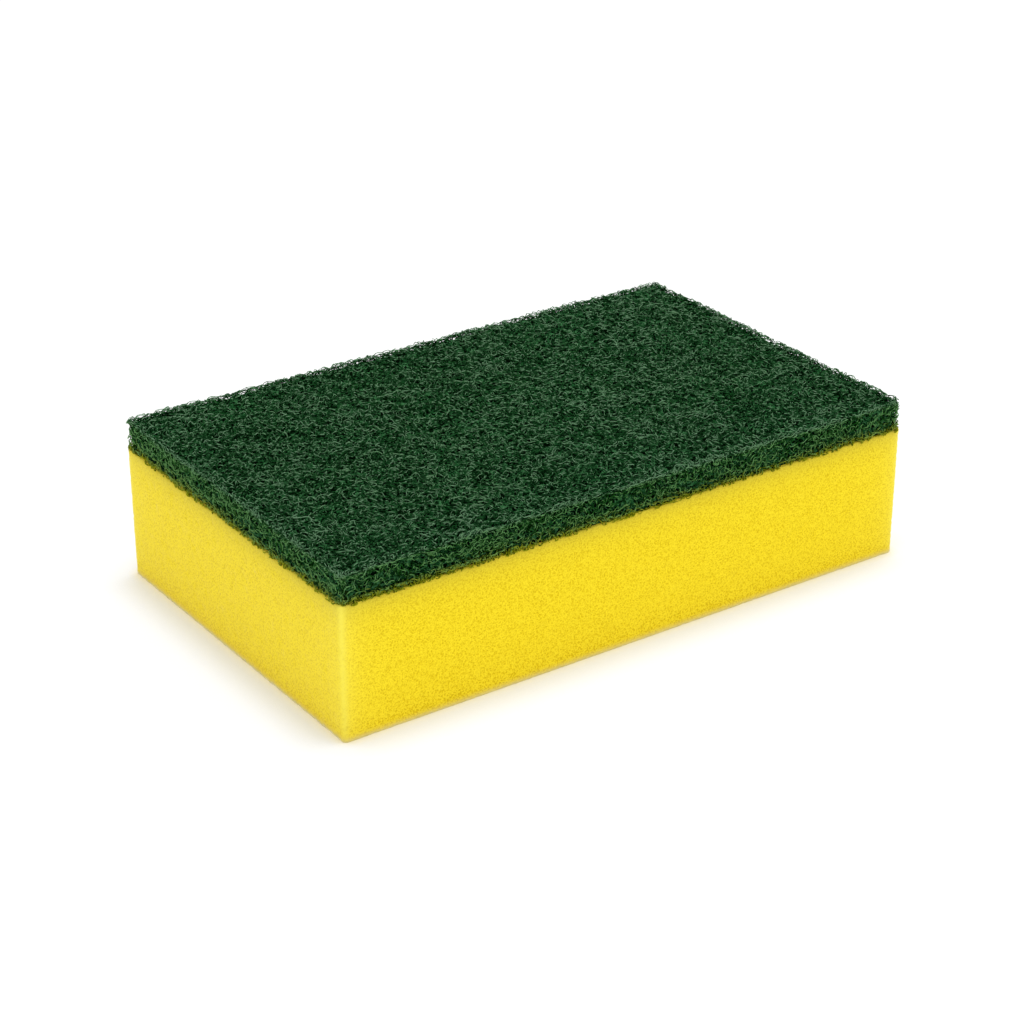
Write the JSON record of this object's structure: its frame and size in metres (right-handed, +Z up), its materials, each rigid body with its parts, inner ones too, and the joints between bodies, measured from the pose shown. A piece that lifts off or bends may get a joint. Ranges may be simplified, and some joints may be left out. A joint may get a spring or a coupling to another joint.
{
  "type": "cleaning sponge",
  "caption": "Rectangular cleaning sponge: a soft open-cell foam block with a rough non-woven scouring pad bonded over its top face.",
  "frame": {"origin": "middle of the flat face of the foam that the sponge rests on", "axes": "+X along the sponge's length, +Y along its width, +Z up from the foam to the scouring pad"},
  "size_m": [0.1504, 0.0924, 0.0391],
  "materials": {
    "yellow_foam": "open-cell polyurethane foam, matte",
    "green_web": "resin-coated non-woven fibre web, slightly glossy strands"
  },
  "bodies": {
    "root": {"foam_block": "yellow_foam", "scouring_pad": "green_web"}
  },
  "joints": []
}
